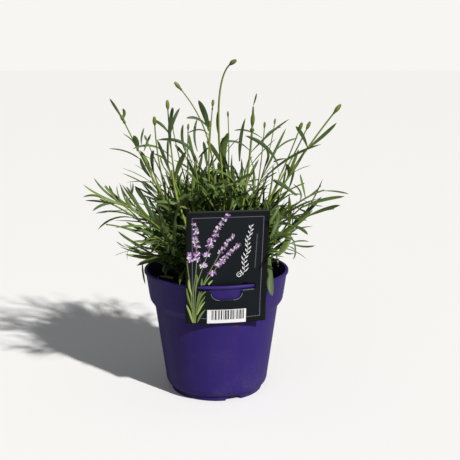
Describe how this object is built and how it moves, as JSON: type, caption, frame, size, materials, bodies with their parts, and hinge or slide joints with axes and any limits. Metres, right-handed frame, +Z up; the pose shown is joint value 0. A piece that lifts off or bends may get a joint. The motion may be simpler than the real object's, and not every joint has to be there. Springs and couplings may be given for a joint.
{
  "type": "potted lavender",
  "caption": "Bushy young lavender plant with slender budding flower stalks, growing in a round purple nursery pot with a picture label hooked over its rim.",
  "frame": {"origin": "on the pot's axis, at the surface that the pot's foot stands on", "axes": "+Z up along the pot's axis, -Y towards the front where the label hangs, +X to the right seen from the front"},
  "size_m": [0.2472, 0.2011, 0.3172],
  "materials": {
    "pot_plastic": "satin moulded polypropylene, violet",
    "compost": "dark crumbly peat compost",
    "label_card": "printed plastic card, near black with a lavender picture",
    "bark": "rough grey-brown bark",
    "leaf": "matt narrow leaves, grey-green to deep green",
    "flower_stem": "soft yellow-green square stems with green buds",
    "dry_leaf": "dry straw-coloured leaf"
  },
  "bodies": {
    "root": {"pot": "pot_plastic", "compost": "compost", "label_card": "label_card", "woody_crown": "bark", "fallen_leaf_1": "dry_leaf", "fallen_leaf_2": "dry_leaf", "flower_stalk_01": "flower_stem", "flower_stalk_02": "flower_stem", "flower_stalk_03": "flower_stem", "flower_stalk_04": "flower_stem", "flower_stalk_05": "flower_stem", "flower_stalk_06": "flower_stem", "flower_stalk_07": "flower_stem", "flower_stalk_08": "flower_stem", "flower_stalk_09": "flower_stem", "flower_stalk_10": "flower_stem", "flower_stalk_11": "flower_stem", "flower_stalk_12": "flower_stem", "flower_stalk_13": "flower_stem", "flower_stalk_14": "flower_stem", "flower_stalk_15": "flower_stem", "flower_stalk_16": "flower_stem", "flower_stalk_17": "flower_stem", "leafy_shoot_01": "leaf", "leafy_shoot_02": "leaf", "leafy_shoot_03": "leaf", "leafy_shoot_04": "leaf", "leafy_shoot_05": "leaf", "leafy_shoot_06": "leaf", "leafy_shoot_07": "leaf", "leafy_shoot_08": "leaf", "leafy_shoot_09": "leaf", "leafy_shoot_10": "leaf", "leafy_shoot_11": "leaf", "leafy_shoot_12": "leaf", "leafy_shoot_13": "leaf", "leafy_shoot_14": "leaf", "leafy_shoot_15": "leaf", "leafy_shoot_16": "leaf", "leafy_shoot_17": "leaf", "leafy_shoot_18": "leaf", "leafy_shoot_19": "leaf", "leafy_shoot_20": "leaf", "leafy_shoot_21": "leaf", "leafy_shoot_22": "leaf", "leafy_shoot_23": "leaf", "leafy_shoot_24": "leaf", "leafy_shoot_25": "leaf", "leafy_shoot_26": "leaf", "leafy_shoot_27": "leaf", "leafy_shoot_28": "leaf", "leafy_shoot_29": "leaf", "leafy_shoot_30": "leaf", "leafy_shoot_31": "leaf", "leafy_shoot_32": "leaf", "leafy_shoot_33": "leaf", "leafy_shoot_34": "leaf", "leafy_shoot_35": "leaf", "leafy_shoot_36": "leaf", "leafy_shoot_37": "leaf"}
  },
  "joints": []
}
